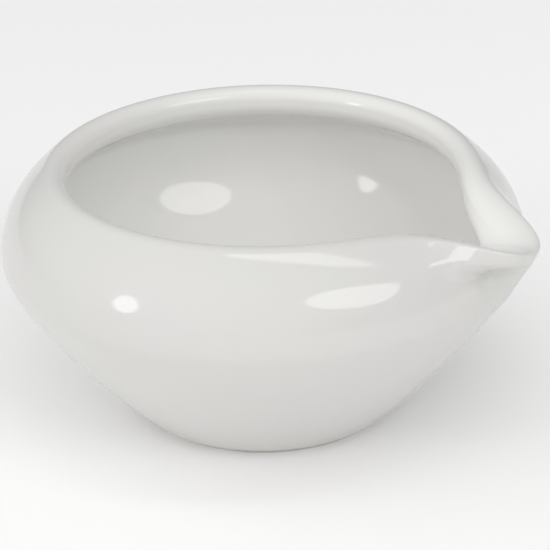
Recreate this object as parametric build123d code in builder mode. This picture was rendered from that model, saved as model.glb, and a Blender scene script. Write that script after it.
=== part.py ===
"""Porcelain evaporating dish: an in-turned basin with a rounded lip and one drawn-out pouring spout.

Two pieces: the fired porcelain body, and the glaze coat fused over all of it but its foot.
Frame: millimetres, +Z up, the resting plane at Z = 0, the basin's axis on Z, the spout towards +X.
"""

from build123d import *
from math import cos, cosh, exp, pi, radians, sin
import os

# Outside wall of the body
foot_radius = 19.05
foot_wall_angle = 45.8      # degrees above the table at which the wall leaves the foot
belly_radius = 37.25        # the widest ring
belly_height = 24.7
lower_wall_ease = (5.7, 4.8)    # how far the wall keeps its direction at the foot and at the belly
shoulder_ease = (5.1, 4.65)     # the same for the in-turned shoulder, at the belly and at the lip

# Lip
lip_center_radius = 29.62
lip_center_height = 35.03
lip_radius = 1.65           # the round on top of the rim
lip_start_angle = 38.9      # degrees from straight up at which the shoulder runs into the round
lip_face_height = 0.6       # the upright inner face of the rim
lip_under_radius = 1.9      # the round under that face
lip_under_angle = 38.0      # degrees that the under-round turns back towards the wall

# Inside wall of the body
wall_thickness = 2.8        # at the belly
inner_belly_rise = 3.3      # the inside is widest this far above the belly
inner_upper_ease = (1.7, 2.3)
inner_lower_ease = (10.8, 10.4)
floor_radius = 11.6         # the level middle of the inside floor
floor_thickness = 3.8

# Glaze
glaze_thickness = 0.25
glaze_edge_height = 0.8     # the foot is bare up to here

# Spout: widths are degrees each side of its middle
spout_start_height = 18.6   # the wall starts to lean into the spout here
spout_reach = 12.44         # how far the rim is drawn outwards in the middle
spout_rise_outside = 2.09   # how late the pull grows with height, as a power
spout_rise_inside = 1.8
lip_pull_width = 8.9        # the lip follows the pull softly
lip_pull_flatness = 1.16
nose_width = 2.5            # below the lip the pull makes a narrow nose
nose_flatness = 2.0
nose_top_height = 31.8      # the nose runs into the lip here
nose_top_blend = 2.2
nose_follow = 0.2           # the share of the soft pull that is still felt beside the nose
channel_start_height = 26.0     # the pouring channel inside starts here
channel_width = 6.8
sag = 5.4                   # how far the tip sags below the rim
sag_width = 12.0
dent_depth = 0.5            # the finger marks beside the nose
dent_azimuth = 5.5
dent_width = 4.0
dent_height = 28.0
dent_spread = 5.0

points_per_ring = 80
spout_crowding = 0.8        # how strongly a ring's points gather at the spout, 0 for even spacing
lip_bands = 10
small_angle = 0.0005        # steps for finding which way the surface faces, in radians and millimetres
small_step = 0.01


def facing(angle):
    """The outward direction at an angle from straight up, away from the basin's axis positive."""
    return Vector(sin(radians(angle)), cos(radians(angle)))


def heading(angle):
    """The way the outline runs, up the outside and down the inside, where it faces that angle."""
    return Vector(-cos(radians(angle)), sin(radians(angle)))


# The wall's outline, from the foot up the outside, over the lip and down inside.
# It is drawn flat: X is the distance from the basin's axis and Y is the height.
wall_rise = heading(180 - foot_wall_angle)
foot_edge = Vector(foot_radius, 0)
bevel_end = foot_edge + wall_rise * (glaze_edge_height / wall_rise.Y)
belly = Vector(belly_radius, belly_height)
lip_center = Vector(lip_center_radius, lip_center_height)
lip_start = lip_center + facing(lip_start_angle) * lip_radius
lip_end = lip_center + facing(-90) * lip_radius
face_end = lip_end - Vector(0, lip_face_height)
under_center = face_end + Vector(lip_under_radius, 0)
under_turn = -90 - lip_under_angle
under_end = under_center + facing(under_turn) * lip_under_radius
inner_belly = belly + Vector(-wall_thickness, inner_belly_rise)
floor_edge = Vector(floor_radius, floor_thickness)
rim_height = lip_center_height + lip_radius + glaze_thickness

with BuildLine() as outline:
    foot_bevel = Line(foot_edge, bevel_end)
    lower_wall = Bezier(
        bevel_end,
        bevel_end + wall_rise * lower_wall_ease[0],
        belly - Vector(0, lower_wall_ease[1]),
        belly,
    )
    shoulder = Bezier(
        belly,
        belly + Vector(0, shoulder_ease[0]),
        lip_start - heading(lip_start_angle) * shoulder_ease[1],
        lip_start,
    )
    lip = CenterArc(lip_center, lip_radius, 90 - lip_start_angle, 90 + lip_start_angle)
    lip_face = Line(lip_end, face_end)
    lip_under = CenterArc(under_center, lip_under_radius, 180, lip_under_angle)
    inner_upper = Bezier(
        under_end,
        under_end + heading(under_turn) * inner_upper_ease[0],
        inner_belly + Vector(0, inner_upper_ease[1]),
        inner_belly,
    )
    inner_lower = Bezier(
        inner_belly,
        inner_belly - Vector(0, inner_lower_ease[0]),
        floor_edge + Vector(inner_lower_ease[1], 0),
        floor_edge,
    )


def eased(share):
    """A smooth step from 0 to 1."""
    share = min(max(share, 0), 1)
    return share ** 2 * (3 - 2 * share)


def bell(azimuth, width, flatness=1):
    """How much of the spout is felt at an azimuth, 1 in its middle; nothing is felt far round the dish."""
    return 1 / cosh(min((abs(azimuth) / width) ** flatness, 30))


def spout_moves(height, inward, azimuth):
    """How far the spout draws a point of the wall outwards, and how far it lowers it."""
    climb = max(0, (height - spout_start_height) / (rim_height - spout_start_height))
    channel_climb = max(0, (height - channel_start_height) / (rim_height - channel_start_height))
    lip_share = eased((height - nose_top_height) / (2 * nose_top_blend) + 0.5)
    lip_pull = bell(azimuth, lip_pull_width, lip_pull_flatness)
    nose_pull = nose_follow * lip_pull + (1 - nose_follow) * bell(azimuth, nose_width, nose_flatness)
    outside = climb ** spout_rise_outside * (lip_share * lip_pull + (1 - lip_share) * nose_pull)
    inside = channel_climb ** spout_rise_inside * bell(azimuth, channel_width)
    dent_level = exp(-abs((height - dent_height) / dent_spread) ** 3)
    dent_place = exp(-((abs(azimuth) - dent_azimuth) / dent_width) ** 2)
    dent = dent_depth * dent_level * dent_place
    reach = (1 - inward) * (spout_reach * outside - dent) + inward * spout_reach * inside
    drop = sag * climb ** 2 / (1 + (azimuth / sag_width) ** 2)
    return reach, drop


# Every ring is a closed spline with the same parameters, so that bands between them run straight up and down
ring_parameters = [i / points_per_ring for i in range(points_per_ring + 1)]


def wall_point(place, inward, angle):
    """A point of the body's surface, from a place on the outline and an angle round the basin's axis."""
    reach, drop = spout_moves(place.Y, inward, angle * 180 / pi)
    radius = place.X + reach
    return Vector(radius * cos(angle), radius * sin(angle), place.Y - drop)


def ring(station, coat):
    """One closed ring of the dish's surface, at a thickness of coat square to the body.

    A station is a point of the outline, the outline's direction there, and 0 outside the lip to 1 inside it.
    """
    place, along, inward = station
    ring_points = []
    for i in range(points_per_ring):
        turn = 2 * pi * i / points_per_ring - pi
        angle = turn - spout_crowding * sin(turn)
        here = wall_point(place, inward, angle)
        around = wall_point(place, inward, angle + small_angle) - here
        ahead = wall_point(place + along * small_step, inward, angle) - here
        ring_points.append(here + around.cross(ahead).normalized() * coat)
    return Wire([Edge.make_spline(ring_points, periodic=True, parameters=ring_parameters)])


def banded(rings):
    """The solid inside a row of rings, joined by narrow straight bands and closed by a level face at each end."""
    return Solid.make_loft(rings, ruled=True)


def without_base(solid):
    """A solid's faces but for the lowest level one."""
    base = solid.faces().filter_by(Plane.XY).sort_by(Axis.Z)[0]
    return [face for face in solid.faces() if not face.is_same(base)]


def spread(edge, count, inward):
    """Even stations along an edge of the outline, without its far end."""
    return [(edge @ (i / count), edge % (i / count), inward) for i in range(count)]


stations = (
    spread(foot_bevel, 1, 0)
    + spread(lower_wall, 16, 0)
    + spread(shoulder, 16, 0)
    + [(lip @ (i / lip_bands), lip % (i / lip_bands), eased(i / lip_bands)) for i in range(lip_bands)]
    + spread(lip_face, 1, 1)
    + spread(lip_under, 3, 1)
    + spread(inner_upper, 10, 1)
    + spread(inner_lower, 18, 1)
    + [(inner_lower @ 1, inner_lower % 1, 1)]
)
body_rings = [ring(station, 0) for station in stations]
glazed_rings = [ring(station, glaze_thickness) for station in stations[1:]]

with BuildPart() as porcelain_body:
    add(banded(body_rings))
porcelain_body.part.label = "porcelain_body"

# The coat fills the space between its own outer surface and the body's. The two surfaces meet only
# along the ring at the top of the bare foot bevel, and enclose it.
outer_faces = without_base(banded([body_rings[1]] + glazed_rings))
inner_faces = without_base(banded(body_rings[1:]))
with BuildPart() as glaze:
    add(Solid(Shell(outer_faces + inner_faces)))
glaze.part.label = "glaze"

os.makedirs("parts", exist_ok=True)
export_step(porcelain_body.part, "parts/porcelain_body.step")
export_step(glaze.part, "parts/glaze.step")
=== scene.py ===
"""The evaporating dish's looks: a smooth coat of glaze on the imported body, materials and a plain studio.

Every size is in millimetres and degrees until a mesh, a light or the camera is made from it. As in the
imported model, +Z is up, the foot stands on Z = 0, the basin's axis is Z and the spout points towards +X.
"""

import bpy
import numpy as np
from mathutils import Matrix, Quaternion, Vector


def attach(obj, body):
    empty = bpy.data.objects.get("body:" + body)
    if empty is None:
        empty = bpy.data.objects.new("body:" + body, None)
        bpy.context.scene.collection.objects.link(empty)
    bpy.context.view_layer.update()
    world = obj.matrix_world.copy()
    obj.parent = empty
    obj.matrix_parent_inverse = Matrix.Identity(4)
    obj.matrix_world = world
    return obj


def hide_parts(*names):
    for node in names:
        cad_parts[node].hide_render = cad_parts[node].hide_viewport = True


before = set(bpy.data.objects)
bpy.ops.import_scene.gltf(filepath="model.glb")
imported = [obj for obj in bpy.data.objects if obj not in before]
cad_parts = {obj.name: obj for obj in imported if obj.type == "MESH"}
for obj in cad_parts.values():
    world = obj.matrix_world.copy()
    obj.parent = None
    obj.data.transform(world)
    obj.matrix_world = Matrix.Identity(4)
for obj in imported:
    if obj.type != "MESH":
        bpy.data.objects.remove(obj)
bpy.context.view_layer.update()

MM = 0.001

# Outside wall of the body
FOOT_RADIUS = 19.05
FOOT_WALL_ANGLE = 45.8          # degrees above the table at which the wall leaves the foot
BELLY_RADIUS = 37.25            # the widest ring
BELLY_HEIGHT = 24.7
LOWER_WALL_EASE = (5.7, 4.8)    # how far the wall keeps its direction at the foot and at the belly
SHOULDER_EASE = (5.1, 4.65)     # the same for the in-turned shoulder, at the belly and at the lip

# Lip
LIP_CENTER = (29.62, 35.03)     # distance from the axis, and height
LIP_RADIUS = 1.65               # the round on top of the rim
LIP_START_ANGLE = 38.9          # degrees from straight up at which the shoulder runs into the round
LIP_FACE_HEIGHT = 0.6           # the upright inner face of the rim
LIP_UNDER_RADIUS = 1.9          # the round under that face
LIP_UNDER_ANGLE = 38.0          # degrees that the under-round turns back towards the wall

# Inside wall of the body
WALL_THICKNESS = 2.8            # at the belly
INNER_BELLY_RISE = 3.3          # the inside is widest this far above the belly
INNER_UPPER_EASE = (1.7, 2.3)
INNER_LOWER_EASE = (10.8, 10.4)
FLOOR_RADIUS = 11.6             # the level middle of the inside floor
FLOOR_THICKNESS = 3.8

# Spout: widths are degrees each side of its middle
SPOUT_START_HEIGHT = 18.6       # the wall starts to lean into the spout here
SPOUT_REACH = 12.44             # how far the rim is drawn outwards in the middle
SPOUT_RISE = (2.09, 1.8)        # how late the pull grows with height outside and inside, as a power
LIP_PULL_WIDTH = 8.9            # the lip follows the pull softly
LIP_PULL_FLATNESS = 1.16
NOSE_WIDTH = 2.5                # below the lip the pull makes a narrow nose
NOSE_FLATNESS = 2.0
NOSE_TOP_HEIGHT = 31.8          # the nose runs into the lip here
NOSE_TOP_BLEND = 2.2
NOSE_FOLLOW = 0.2               # the share of the soft pull that is still felt beside the nose
CHANNEL_START_HEIGHT = 26.0     # the pouring channel inside starts here
CHANNEL_WIDTH = 6.8
SAG = 5.4                       # how far the tip sags below the rim
SAG_WIDTH = 12.0
DENT_DEPTH = 0.5                # the finger marks beside the nose
DENT_AZIMUTH = 5.5
DENT_WIDTH = 4.0
DENT_HEIGHT = 28.0
DENT_SPREAD = 5.0

# Glaze
GLAZE_THICKNESS = 0.25
DRAWN_THICKNESS = 0.23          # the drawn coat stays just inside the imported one
GLAZE_EDGE_HEIGHT = 0.8         # the foot is bare up to here
GLAZE_ROLL = 0.35               # the coat's edge is rounded over this length
GLAZE_SINK = 0.03               # how far its hidden sheet lies under the body's surface
SMALL_STEP = 0.01               # millimetres or degrees, for finding which way the surface faces

# Mesh
AZIMUTHS = 480
SPOUT_CROWDING = 0.62           # how strongly the azimuths gather at the spout, 0 for even spacing
LOWER_WALL_STEPS = 56
SHOULDER_STEPS = 64
LIP_STEPS = 28
LIP_FACE_STEPS = 5
LIP_UNDER_STEPS = 6
INNER_UPPER_STEPS = 34
INNER_LOWER_STEPS = 60
FLOOR_STEPS = 16
HIDDEN_SHEET_SKIP = 3           # the hidden sheet uses every third station

# Camera: azimuths are degrees round from -Y towards +X
CAMERA_AZIMUTH = 31.0
CAMERA_ELEVATION = 25.7
CAMERA_DISTANCE = 291.0
CAMERA_ROLL = -1.3
VIEW_WIDTH = 80.0               # how much is seen across the picture at the aim
AIM_RIGHT = 1.56
AIM_HEIGHT = 18.5
SENSOR_WIDTH = 36.0

FLOOR_CENTER_RADIUS = 0.4       # a flat fan closes the coat inside this ring
RIM_HEIGHT = LIP_CENTER[1] + LIP_RADIUS + GLAZE_THICKNESS


# ---------------------------------------------------------------- the outline of the wall

def facing(angle):
    """The outward direction at an angle from straight up, away from the axis positive."""
    return np.array([np.sin(np.radians(angle)), np.cos(np.radians(angle))])


def heading(angle):
    """The way the outline runs, up the outside and down the inside, where it faces that angle."""
    return np.array([-np.cos(np.radians(angle)), np.sin(np.radians(angle))])


def curve(start, start_handle, end_handle, end, count):
    """Stations along a cubic curve, as (radius, height, outward normal), without its end."""
    t = (np.arange(count) / count)[:, None]
    points = (1 - t) ** 3 * start + 3 * (1 - t) ** 2 * t * start_handle
    points += 3 * (1 - t) * t ** 2 * end_handle + t ** 3 * end
    slope = (1 - t) ** 2 * (start_handle - start) + 2 * (1 - t) * t * (end_handle - start_handle)
    slope += t ** 2 * (end - end_handle)
    slope /= np.linalg.norm(slope, axis=1)[:, None]
    return np.column_stack([points, slope[:, 1], -slope[:, 0]])


def straight(start, end, count):
    """Stations along a straight run, without its end."""
    third = (end - start) / 3
    return curve(start, start + third, end - third, end, count)


def round_edge(center, radius, first, last, count):
    """Stations on a round between two facing angles, without its end."""
    normals = np.array([facing(first + (last - first) * i / count) for i in range(count)])
    return np.column_stack([center + radius * normals, normals])


def wall_outline():
    """The body's wall, from the glaze's edge up the outside, over the lip and down to the floor's middle.

    The columns are radius, height, the outward normal's two parts, and 0 outside the lip to 1 inside.
    """
    rise = heading(180 - FOOT_WALL_ANGLE)
    bevel_end = np.array([FOOT_RADIUS, 0]) + GLAZE_EDGE_HEIGHT / rise[1] * rise
    belly = np.array([BELLY_RADIUS, BELLY_HEIGHT])
    lip_center = np.array(LIP_CENTER)
    lip_start = lip_center + LIP_RADIUS * facing(LIP_START_ANGLE)
    lip_end = lip_center + LIP_RADIUS * facing(-90)
    face_end = lip_end - (0, LIP_FACE_HEIGHT)
    under_center = face_end + (LIP_UNDER_RADIUS, 0)
    under_turn = -90 - LIP_UNDER_ANGLE
    under_end = under_center + LIP_UNDER_RADIUS * facing(under_turn)
    inner_belly = belly + (-WALL_THICKNESS, INNER_BELLY_RISE)
    floor_edge = np.array([FLOOR_RADIUS, FLOOR_THICKNESS])

    lower_wall = curve(
        bevel_end, bevel_end + LOWER_WALL_EASE[0] * rise,
        belly - (0, LOWER_WALL_EASE[1]), belly, LOWER_WALL_STEPS)
    shoulder = curve(
        belly, belly + (0, SHOULDER_EASE[0]),
        lip_start - SHOULDER_EASE[1] * heading(LIP_START_ANGLE), lip_start, SHOULDER_STEPS)
    lip = round_edge(lip_center, LIP_RADIUS, LIP_START_ANGLE, -90, LIP_STEPS)
    lip_face = straight(lip_end, face_end, LIP_FACE_STEPS)
    lip_under = round_edge(under_center, LIP_UNDER_RADIUS, -90, under_turn, LIP_UNDER_STEPS)
    inner_upper = curve(
        under_end, under_end + INNER_UPPER_EASE[0] * heading(under_turn),
        inner_belly + (0, INNER_UPPER_EASE[1]), inner_belly, INNER_UPPER_STEPS)
    inner_lower = curve(
        inner_belly, inner_belly - (0, INNER_LOWER_EASE[0]),
        floor_edge + (INNER_LOWER_EASE[1], 0), floor_edge, INNER_LOWER_STEPS)
    floor = straight(floor_edge, np.array([FLOOR_CENTER_RADIUS, FLOOR_THICKNESS]), FLOOR_STEPS)

    outside = np.vstack([lower_wall, shoulder])
    inside = np.vstack([lip_face, lip_under, inner_upper, inner_lower, floor])
    over_the_lip = eased(np.arange(len(lip)) / len(lip))
    inward = np.concatenate([np.zeros(len(outside)), over_the_lip, np.ones(len(inside))])
    return np.column_stack([np.vstack([outside, lip, inside]), inward])


# ---------------------------------------------------------------- the spout

def eased(share):
    """A smooth step from 0 to 1."""
    share = np.clip(share, 0, 1)
    return share ** 2 * (3 - 2 * share)


def bell(azimuth, width, flatness=1.0):
    """How much of the spout is felt at an azimuth, 1 in its middle; nothing is felt far round the dish."""
    return 1 / np.cosh(np.minimum((np.abs(azimuth) / width) ** flatness, 30))


def spout_moves(height, inward, azimuth):
    """How far the spout draws a point outwards, and how far it lowers it."""
    climb = np.clip((height - SPOUT_START_HEIGHT) / (RIM_HEIGHT - SPOUT_START_HEIGHT), 0, 1)
    lip_share = eased((height - NOSE_TOP_HEIGHT) / (2 * NOSE_TOP_BLEND) + 0.5)
    lip_pull = bell(azimuth, LIP_PULL_WIDTH, LIP_PULL_FLATNESS)
    nose_pull = NOSE_FOLLOW * lip_pull + (1 - NOSE_FOLLOW) * bell(azimuth, NOSE_WIDTH, NOSE_FLATNESS)
    outside = climb ** SPOUT_RISE[0] * (lip_share * lip_pull + (1 - lip_share) * nose_pull)
    channel_climb = np.clip((height - CHANNEL_START_HEIGHT) / (RIM_HEIGHT - CHANNEL_START_HEIGHT), 0, 1)
    inside = channel_climb ** SPOUT_RISE[1] * bell(azimuth, CHANNEL_WIDTH)
    dent_level = np.exp(-np.abs((height - DENT_HEIGHT) / DENT_SPREAD) ** 3)
    dent_place = np.exp(-((np.abs(azimuth) - DENT_AZIMUTH) / DENT_WIDTH) ** 2)
    dent = DENT_DEPTH * dent_level * dent_place
    reach = (1 - inward) * (SPOUT_REACH * outside - dent) + inward * SPOUT_REACH * inside
    drop = SAG * climb ** 2 / (1 + (azimuth / SAG_WIDTH) ** 2)
    return reach, drop


# ---------------------------------------------------------------- the coat of glaze

def body_points(stations, azimuth):
    """The body's surface under the glaze, one row of points for each station of the outline."""
    radius, height, inward = (stations[:, i][:, None] for i in (0, 1, 4))
    reach, drop = spout_moves(height, inward, azimuth[None, :])
    angle = np.radians(azimuth)[None, :]
    reached = radius + reach
    return np.stack([reached * np.cos(angle), reached * np.sin(angle), height - drop], axis=-1)


def sheet_points(stations, coat, azimuth):
    """A sheet's points at a distance over the body, measured square to its surface."""
    here = body_points(stations, azimuth)
    further = stations.copy()
    further[:, 0] -= SMALL_STEP * stations[:, 3]
    further[:, 1] += SMALL_STEP * stations[:, 2]
    ahead = body_points(further, azimuth) - here
    around = body_points(stations, azimuth + SMALL_STEP) - here
    outward = np.cross(around, ahead)
    outward /= np.linalg.norm(outward, axis=-1, keepdims=True)
    return here + coat * outward


def strip_faces(first_row, second_row, count):
    """Quads between two closed rings of points, given the numbers of their first points."""
    return [
        (first_row + i, first_row + (i + 1) % count, second_row + (i + 1) % count, second_row + i)
        for i in range(count)
    ]


def glaze_mesh():
    """The closed coat: its outer sheet, a rolled edge at the foot, and the hidden sheet on the body."""
    turn = np.linspace(-np.pi, np.pi, AZIMUTHS, endpoint=False)
    azimuth = np.degrees(turn - SPOUT_CROWDING * np.sin(turn))
    stations = wall_outline()
    steps = np.linalg.norm(np.diff(stations[:, :2], axis=0), axis=1)
    from_edge = np.concatenate([[0], np.cumsum(steps)])
    roll = np.clip(1 - from_edge / GLAZE_ROLL, 0, 1)
    coat = (DRAWN_THICKNESS * np.sqrt(1 - roll ** 2))[:, None, None]
    outer = sheet_points(stations, coat, azimuth)
    hidden = sheet_points(stations[::HIDDEN_SHEET_SKIP], -GLAZE_SINK, azimuth)[::-1]
    rows = np.concatenate([outer, hidden])
    points = rows.reshape(-1, 3) * MM
    inside = np.concatenate([stations[:, 4], stations[::HIDDEN_SHEET_SKIP, 4][::-1]])
    middle_height = FLOOR_THICKNESS + np.array([DRAWN_THICKNESS, -GLAZE_SINK])
    faces = []
    sheet_rows = list(range(len(outer) - 1)) + list(range(len(outer), len(rows) - 1))
    for row in sheet_rows:
        faces += strip_faces(row * AZIMUTHS, (row + 1) * AZIMUTHS, AZIMUTHS)
    faces += strip_faces((len(rows) - 1) * AZIMUTHS, 0, AZIMUTHS)

    # A fan of triangles closes the middle of each sheet
    middles = len(points)
    points = np.vstack([points, [(0, 0, h * MM) for h in middle_height]])
    top_ring = (len(outer) - 1) * AZIMUTHS
    hidden_ring = len(outer) * AZIMUTHS
    for i in range(AZIMUTHS):
        after = (i + 1) % AZIMUTHS
        faces.append((top_ring + i, top_ring + after, middles))
        faces.append((hidden_ring + after, hidden_ring + i, middles + 1))

    mesh = bpy.data.meshes.new("glaze_coat")
    mesh.from_pydata(points.tolist(), [], faces)
    mesh.polygons.foreach_set("use_smooth", [True] * len(mesh.polygons))
    # The glaze's colour follows this share, 0 outside the dish to 1 inside
    inside_share = mesh.attributes.new("inside", "FLOAT", "POINT")
    inside_share.data.foreach_set("value", [*np.repeat(inside, AZIMUTHS), 1, 1])
    mesh.update()
    return mesh


# ---------------------------------------------------------------- materials

def new_material(name):
    """A material with its Principled shader, and its node and link lists."""
    material = bpy.data.materials.new(name)
    material.use_nodes = True
    tree = material.node_tree
    return material, tree.nodes["Principled BSDF"], tree.nodes, tree.links


def object_noise(nodes, links, scale, detail, roughness=0.5):
    """Noise that stays with the object, its scale in features per metre."""
    place = nodes.new("ShaderNodeTexCoord")
    noise = nodes.new("ShaderNodeTexNoise")
    noise.inputs["Scale"].default_value = scale
    noise.inputs["Detail"].default_value = detail
    noise.inputs["Roughness"].default_value = roughness
    links.new(place.outputs["Object"], noise.inputs["Vector"])
    return noise.outputs["Fac"]


def spread_values(nodes, links, value, low, high, to_low, to_high):
    """The value's range from low to high, mapped on to another range."""
    mapped = nodes.new("ShaderNodeMapRange")
    mapped.inputs["From Min"].default_value = low
    mapped.inputs["From Max"].default_value = high
    mapped.inputs["To Min"].default_value = to_low
    mapped.inputs["To Max"].default_value = to_high
    links.new(value, mapped.inputs["Value"])
    return mapped.outputs["Result"]


def mixed_colour(nodes, links, share, first, second):
    """A colour between two, each a colour or a socket."""
    mix = nodes.new("ShaderNodeMix")
    mix.data_type = "RGBA"
    links.new(share, mix.inputs["Factor"])
    for name, colour in (("A", first), ("B", second)):
        socket = next(s for s in mix.inputs if s.name == name and s.type == "RGBA")
        if isinstance(colour, bpy.types.NodeSocket):
            links.new(colour, socket)
        else:
            socket.default_value = (*colour, 1)
    return next(s for s in mix.outputs if s.type == "RGBA")


def bumped(nodes, links, height, depth, under=None):
    """A bump of a real depth in metres, over another one if given."""
    bump = nodes.new("ShaderNodeBump")
    bump.inputs["Distance"].default_value = depth
    links.new(height, bump.inputs["Height"])
    if under is not None:
        links.new(under, bump.inputs["Normal"])
    return bump.outputs["Normal"]


def white_glaze():
    """Clear glaze over white porcelain, with faint waves.

    The inside is given a whiter base than the outside, to make up for how little light reaches it.
    """
    material, shader, nodes, links = new_material("white_glaze")
    drift = spread_values(nodes, links, object_noise(nodes, links, 28, 2), 0.35, 0.65, 0, 1)
    outer = mixed_colour(nodes, links, drift, (0.66, 0.661, 0.64), (0.672, 0.657, 0.643))
    inner = mixed_colour(nodes, links, drift, (0.83, 0.832, 0.81), (0.84, 0.826, 0.812))
    side = nodes.new("ShaderNodeAttribute")
    side.attribute_name = "inside"
    base = mixed_colour(nodes, links, side.outputs["Fac"], outer, inner)
    links.new(base, shader.inputs["Base Color"])
    gloss = spread_values(nodes, links, object_noise(nodes, links, 90, 3), 0.3, 0.7, 0.05, 0.1)
    links.new(gloss, shader.inputs["Roughness"])
    waves = bumped(nodes, links, object_noise(nodes, links, 70, 1), 0.00004)
    peel = bumped(nodes, links, object_noise(nodes, links, 420, 2), 0.000004, waves)
    links.new(peel, shader.inputs["Normal"])
    shader.inputs["IOR"].default_value = 1.5
    return material


def bisque_porcelain():
    """Bare fired porcelain at the foot: dull, fine-grained, a little greyed where it has rubbed."""
    material, shader, nodes, links = new_material("bisque_porcelain")
    rubbed = spread_values(nodes, links, object_noise(nodes, links, 160, 6, 0.65), 0.42, 0.7, 0, 1)
    colour = mixed_colour(nodes, links, rubbed, (0.62, 0.6, 0.56), (0.47, 0.45, 0.42))
    links.new(colour, shader.inputs["Base Color"])
    dull = spread_values(nodes, links, object_noise(nodes, links, 500, 4), 0.3, 0.7, 0.6, 0.8)
    links.new(dull, shader.inputs["Roughness"])
    grain = bumped(nodes, links, object_noise(nodes, links, 2600, 5, 0.6), 0.00004)
    links.new(grain, shader.inputs["Normal"])
    return material


def pale_floor():
    """A plain pale table top, with a faint glow of its own to keep it near white."""
    material, shader, nodes, links = new_material("pale_floor")
    drift = spread_values(nodes, links, object_noise(nodes, links, 3, 2), 0.3, 0.7, 0, 1)
    colour = mixed_colour(nodes, links, drift, (0.9, 0.9, 0.9), (0.91, 0.91, 0.905))
    links.new(colour, shader.inputs["Base Color"])
    shader.inputs["Roughness"].default_value = 0.9
    shader.inputs["Emission Color"].default_value = (1, 1, 1, 1)
    shader.inputs["Emission Strength"].default_value = 0.08
    return material


# ---------------------------------------------------------------- the dish

body = bpy.data.objects["porcelain_body"]
body.data.materials.clear()
body.data.materials.append(bisque_porcelain())

glaze_coat = bpy.data.objects.new("glaze_coat", glaze_mesh())
bpy.context.scene.collection.objects.link(glaze_coat)
glaze_coat.data.materials.append(white_glaze())
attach(glaze_coat, "root")
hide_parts("glaze")


# ---------------------------------------------------------------- floor, light and camera

bpy.ops.mesh.primitive_plane_add(size=4)
floor = bpy.context.object
floor.name = "floor"
floor.data.materials.append(pale_floor())


def seen_from(azimuth, elevation):
    """The unit vector from the dish towards a place seen at an azimuth from -Y and a height in degrees."""
    a, e = np.radians(azimuth), np.radians(elevation)
    return Vector((np.sin(a) * np.cos(e), -np.cos(a) * np.cos(e), np.sin(e)))


def softbox(name, azimuth, elevation, distance, width, height, watts, turn=0):
    """An oval light facing the middle of the dish."""
    light = bpy.data.lights.new(name, "AREA")
    light.shape = "ELLIPSE"
    light.size = width * MM
    light.size_y = height * MM
    light.energy = watts
    lamp = bpy.data.objects.new(name, light)
    bpy.context.scene.collection.objects.link(lamp)
    towards = seen_from(azimuth, elevation)
    lamp.location = Vector((0, 0, BELLY_HEIGHT * MM)) + towards * distance * MM
    lamp.rotation_mode = "QUATERNION"
    lamp.rotation_quaternion = towards.to_track_quat("Z", "Y") @ Quaternion((0, 0, 1), np.radians(turn))


softbox("window", CAMERA_AZIMUTH + 41, 33, 500, width=330, height=175, watts=0.45, turn=-18)
softbox("lamp", CAMERA_AZIMUTH - 59, 17, 500, width=95, height=150, watts=0.17)
softbox("strip", CAMERA_AZIMUTH + 39, 71, 520, width=440, height=70, watts=0.19, turn=-40)

# The sky is brightest on the camera's left, half-way up, and fades evenly to a low level away from it
world = bpy.data.worlds.new("studio")
world.use_nodes = True
sky_nodes, sky_links = world.node_tree.nodes, world.node_tree.links
background = sky_nodes["Background"]
background.inputs["Color"].default_value = (1, 1, 1, 1)
sky_place = sky_nodes.new("ShaderNodeTexCoord")
lean = sky_nodes.new("ShaderNodeVectorMath")
lean.operation = "DOT_PRODUCT"
lean.inputs[1].default_value = seen_from(CAMERA_AZIMUTH - 50, 45)
sky_links.new(sky_place.outputs["Generated"], lean.inputs[0])
glow = spread_values(sky_nodes, sky_links, lean.outputs["Value"], 0, 1, 0.38, 1.15)
sky_links.new(glow, background.inputs["Strength"])
bpy.context.scene.world = world
bpy.context.scene.view_settings.view_transform = "Standard"

camera = bpy.data.cameras.new("camera")
camera.sensor_width = SENSOR_WIDTH
camera.lens = SENSOR_WIDTH * CAMERA_DISTANCE / VIEW_WIDTH
camera_object = bpy.data.objects.new("camera", camera)
bpy.context.scene.collection.objects.link(camera_object)
towards_camera = seen_from(CAMERA_AZIMUTH, CAMERA_ELEVATION)
upright = towards_camera.to_track_quat("Z", "Y")
aim = Vector((0, 0, AIM_HEIGHT * MM)) + upright @ Vector((AIM_RIGHT * MM, 0, 0))
camera_object.location = aim + towards_camera * CAMERA_DISTANCE * MM
camera_object.rotation_mode = "QUATERNION"
camera_object.rotation_quaternion = upright @ Quaternion((0, 0, 1), np.radians(CAMERA_ROLL))
bpy.context.scene.camera = camera_object
